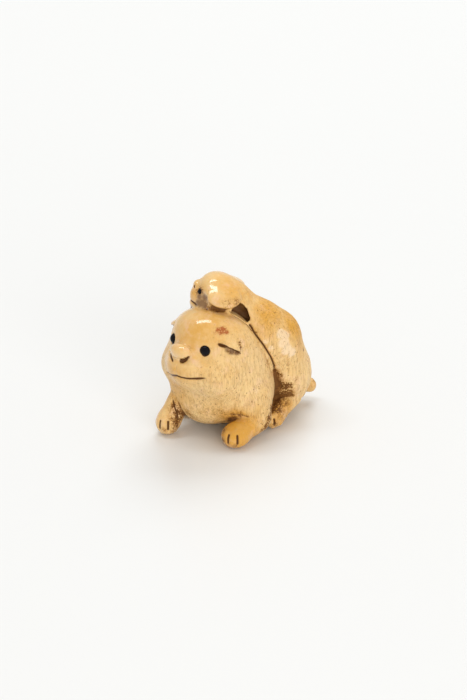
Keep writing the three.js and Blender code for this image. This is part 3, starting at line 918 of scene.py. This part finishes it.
def polish_form(piece, sizes):
    """Rebuilds the rough form from even cells and polishes its facets away."""
    rebuild(piece, sizes.grain)
    near = Neighbours(piece.data)
    places = near.polish(rows(piece.data.vertices, "co"), sizes.smoothing)
    polished = polished_share(places)[:, None]
    places += polished * (near.polish(places, sizes.smoothing * POLISHED_TIMES) - places)
    rounded = spot(places, *ROUNDED)[:, None]
    softened = near.soften(places, sizes.smoothing * ROUNDED_TIMES)
    put_places(piece.data, places + rounded * (softened - places))


def valleys(near, places, outward):
    """How far each place lies in a narrow crevice, and in a broad hollow or on the underside."""
    sharp = near.soften(places, CREVICE_PASSES)
    broad = near.soften(sharp, HOLLOW_PASSES)
    crevice = np.clip(np.sum((sharp - places) * outward, 1) / FULL_CREVICE, 0, 3)
    hollow = np.clip(np.sum((broad - places) * outward, 1) / FULL_HOLLOW - 0.1, 0, 2)
    # Faces that look down count as a hollow, and are darkened with it.
    underside = np.clip(-outward[:, 2] - 0.3, 0, 1)
    return near.soften(crevice, 1), hollow + underside * 0.9


def handwork(places, heads, sizes, crevice):
    """How far each place is sunk by the undercut, the knife and the spots, less what the noses stand up."""
    sunk = sizes.undercut * CREVICE_CUT * np.clip(crevice, 0, 2)
    marks = np.array([noise.noise(Vector(place) / KNIFE_SPACING) for place in places])
    sunk += sizes.knife_marks * marks * (1 - MARKS_LOST * polished_share(places))
    for puppy, nose in NOSES.items():
        sunk -= swelling(places, heads[puppy], nose)
    for each in SPOTS:
        if each.depth:
            sunk += each.depth * MM * spot(places, each.at, each.radius)
    return sunk


def grooves(places, cuts):
    """How far the cut lines sink each place, less what their lips stand up, and how dark they stain it."""
    groove, lips, ink = (np.zeros(len(places)) for _ in range(3))
    for cut in cuts:
        close, gaps, offsets, shares = nearest(places, cut.points, cut.width * GROOVE_REACH)
        taper = np.minimum(np.minimum(shares, 1 - shares) * LINE_GROWTH + LINE_END, 1)
        groove[close] = np.maximum(groove[close], cut.depth * taper * bell(gaps, cut.width))
        if cut.height:
            # Painted shade: on the side that the lip leans over, the stain spreads twice as far.
            gaps = np.where(offsets @ np.array(cut.lip) < 0, gaps * 0.5, gaps)
        ink[close] = np.maximum(ink[close], cut.dark * taper * bell(gaps, cut.width * STAIN_WIDTH))
        if cut.height:
            close, gaps, offsets, shares = nearest(places, cut.points, cut.spread * LIP_REACH)
            above = np.clip(offsets @ np.array(cut.lip) / LIP_EDGE, -1, 1)
            crest = bell(gaps, cut.spread) * np.sin(np.pi * shares) ** 0.6
            lips[close] += cut.height * crest * np.where(above > 0, above, above * 0.5)
    return groove - lips, ink


def striated(places, heads):
    """1 where the bone is striated, down to 0 on the smooth faces, noses and paws."""
    middle, size = SMOOTH_FACE
    smooth = sum(around(places, head.place(*middle), head.radius * size) for head in heads.values())
    smooth += sum(around(places, heads[puppy].place(*nose["at"]), heads[puppy].radius * SMOOTH_NOSE)
                  for puppy, nose in NOSES.items())
    smooth += sum(spot(places, paw["at"], paw["reach"] * SMOOTH_PAW) for paw in PAWS) * 1.4
    return 1 - np.clip(smooth * 1.1, 0, 1)


def carve(piece, heads, sizes, inset):
    """Cuts the polished form's valleys and lines, and paints what the finish reads."""
    surface = BVHTree.FromObject(piece, bpy.context.evaluated_depsgraph_get())
    cuts = cut_lines(heads, surface, sizes, inset)
    refine(piece, cuts)

    mesh = piece.data
    places, outward = rows(mesh.vertices, "co"), rows(mesh.vertex_normals, "vector")
    crevice, hollow = valleys(Neighbours(mesh), places, outward)
    groove, ink = grooves(places, cuts)
    places -= outward * (handwork(places, heads, sizes, crevice) + groove)[:, None]
    low, high = (np.array(corner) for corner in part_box("puppies"))
    put_places(mesh, np.clip(places, low, high))
    mesh.shade_smooth()

    paint(mesh, "crevice", crevice / 2)
    paint(mesh, "hollow", hollow)
    paint(mesh, "ink", ink)
    paint(mesh, "fur", striated(places, heads))
    for name in ("rust", "patina", "worn", "shade", "warm"):
        paint(mesh, name, painted_spots(places, name))


# ---------------------------------------------------------------- operators

class NETSUKE_OT_carving(bpy.types.Operator):
    """Carve the two puppies from one piece of bone"""

    bl_idname = "netsuke.carving"
    bl_label = "Carve the Puppies"

    def execute(self, context):
        settings = context.scene
        piece = rough_form()
        polish_form(piece, settings.netsuke_carving)
        heads = {puppy: Head(puppy) for puppy in HEADS}
        carve(piece, heads, settings.netsuke_carving, settings.netsuke_eyes.inset)
        piece.data.materials.clear()
        piece.data.materials.append(bone_material(settings.netsuke_bone))
        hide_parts("puppies")
        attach(piece, "root")
        return {"FINISHED"}


class NETSUKE_OT_eyes(bpy.types.Operator):
    """Set the four horn eyes in their sockets"""

    bl_idname = "netsuke.eyes"
    bl_label = "Set the Eyes"

    def execute(self, context):
        looks = context.scene.netsuke_eyes
        material = horn_material(looks)
        for node in eye_nodes():
            middle, radius = eye_shape(node, looks.inset)
            bm = bmesh.new()
            bmesh.ops.create_icosphere(bm, subdivisions=4, radius=radius)
            bmesh.ops.translate(bm, verts=bm.verts, vec=middle)
            piece = added(f"{node}_inlay", mesh_from(bm, f"{node}_inlay"))
            piece.data.shade_smooth()
            piece.data.materials.append(material)
            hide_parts(node)
            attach(piece, "root")
        return {"FINISHED"}


# The camera's direction in degrees, the height of its view at the carving, and how far the view's middle is
# below the carving's.
VIEW_AZIMUTH = 28
VIEW_ELEVATION = 25
VIEW_HEIGHT = 154 * MM
VIEW_DROP = 0.98 * MM
SENSOR_HEIGHT = 24
# Each lamp: its place from the carving, in metres to the view's right, away and up, and its size and colour.
LAMPS = {
    "overhead": {"at": (-0.42, 0.16, 1.4), "size": (0.9, 0.25), "colour": (0.9, 0.96, 1.0)},
    "back": {"at": (0.25, 0.95, 1.05), "size": (0.8, 0.8), "colour": (0.88, 0.95, 1.0)},
    "front": {"at": (0.42, -1.08, 0.34), "size": (0.9, 0.6), "colour": (1.0, 0.985, 0.98)},
}
FILL_COLOUR = (1.0, 0.915, 0.82)
FLOOR_SEGMENTS = 96


def aim(thing, place, target, right):
    """Puts a lamp or camera at a place, looking at a target, with its own width along the view's."""
    back = (place - target).normalized()
    across = (right - back * right.dot(back)).normalized()
    turn = Matrix((across, back.cross(across), back)).transposed().to_4x4()
    thing.matrix_world = Matrix.Translation(place) @ turn


def add_camera(looks, place, target, right):
    """A long lens that looks at the target."""
    camera = added("camera", bpy.data.cameras.new("camera"))
    camera.data.sensor_fit = "VERTICAL"
    camera.data.sensor_height = SENSOR_HEIGHT
    camera.data.lens = SENSOR_HEIGHT * looks.distance / VIEW_HEIGHT
    camera.data.clip_start = 10 * MM
    aim(camera, place, target, right)
    bpy.context.scene.camera = camera


def add_lamps(looks, target, right, away):
    """Three large lamps, of which only the one overhead shows as a highlight."""
    for name, form in LAMPS.items():
        lamp = added(f"{name}_lamp", bpy.data.lights.new(f"{name}_lamp", "AREA"))
        lamp.data.shape = "RECTANGLE"
        lamp.data.size, lamp.data.size_y = form["size"]
        lamp.data.energy = getattr(looks, name)
        lamp.data.color = form["colour"]
        lamp.visible_glossy = name == "overhead"
        beside, behind, above = form["at"]
        aim(lamp, target + right * beside + away * behind + UP * above, target, right)


def add_fill(looks):
    """The soft light from all around."""
    world = bpy.data.worlds.new("soft_light")
    world.use_nodes = True
    background = world.node_tree.nodes["Background"]
    background.inputs["Color"].default_value = (*FILL_COLOUR, 1)
    background.inputs["Strength"].default_value = looks.fill
    bpy.context.scene.world = world


def add_floor(looks):
    """A round table top under the carving."""
    bm = bmesh.new()
    bmesh.ops.create_circle(bm, cap_ends=True, radius=looks.radius, segments=FLOOR_SEGMENTS)
    floor = added("floor", mesh_from(bm, "floor"))
    floor.data.materials.append(floor_material(looks))


class NETSUKE_OT_stage(bpy.types.Operator):
    """Set out the floor, the lamps and the camera"""

    bl_idname = "netsuke.stage"
    bl_label = "Set the Stage"

    def execute(self, context):
        looks = context.scene.netsuke_stage
        azimuth, elevation = math.radians(VIEW_AZIMUTH), math.radians(VIEW_ELEVATION)
        right = Vector((math.cos(azimuth), math.sin(azimuth), 0))
        away = UP.cross(right)
        upward = UP * math.cos(elevation) + away * math.sin(elevation)
        towards = UP * math.sin(elevation) - away * math.cos(elevation)
        target = (CAD_BOX[0] + CAD_BOX[1]) / 2 - upward * VIEW_DROP
        add_camera(looks, target + towards * looks.distance, target, right)
        add_lamps(looks, target, right, away)
        add_fill(looks)
        context.scene.view_settings.view_transform = "Standard"
        add_floor(looks)
        return {"FINISHED"}


class NETSUKE_PT_sidebar(bpy.types.Panel):
    """The netsuke's pieces and what can be changed about them"""

    bl_idname = "NETSUKE_PT_sidebar"
    bl_label = "Puppy Netsuke"
    bl_space_type = "VIEW_3D"
    bl_region_type = "UI"
    bl_category = "Netsuke"

    def draw(self, context):
        for operator, group in STEPS:
            box = self.layout.box()
            box.operator(operator.bl_idname)
            for name in group:
                settings = getattr(context.scene, name)
                for setting in settings.bl_rna.properties.keys():
                    if setting not in ("rna_type", "name"):
                        box.prop(settings, setting)


STEPS = [
    (NETSUKE_OT_carving, ("netsuke_carving", "netsuke_bone")),
    (NETSUKE_OT_eyes, ("netsuke_eyes",)),
    (NETSUKE_OT_stage, ("netsuke_stage",)),
]
GROUPS = {
    "netsuke_carving": CarvingSizes,
    "netsuke_bone": BoneColours,
    "netsuke_eyes": EyeLooks,
    "netsuke_stage": StageLooks,
}
CLASSES = [*GROUPS.values(), *(operator for operator, _ in STEPS), NETSUKE_PT_sidebar]


def register():
    for cls in CLASSES:
        bpy.utils.register_class(cls)
    for name, group in GROUPS.items():
        setattr(bpy.types.Scene, name, PointerProperty(type=group))


def unregister():
    for name in GROUPS:
        delattr(bpy.types.Scene, name)
    for cls in reversed(CLASSES):
        bpy.utils.unregister_class(cls)


def main():
    register()
    bpy.ops.netsuke.carving()
    bpy.ops.netsuke.eyes()
    bpy.ops.netsuke.stage()


if __name__ == "__main__":
    main()
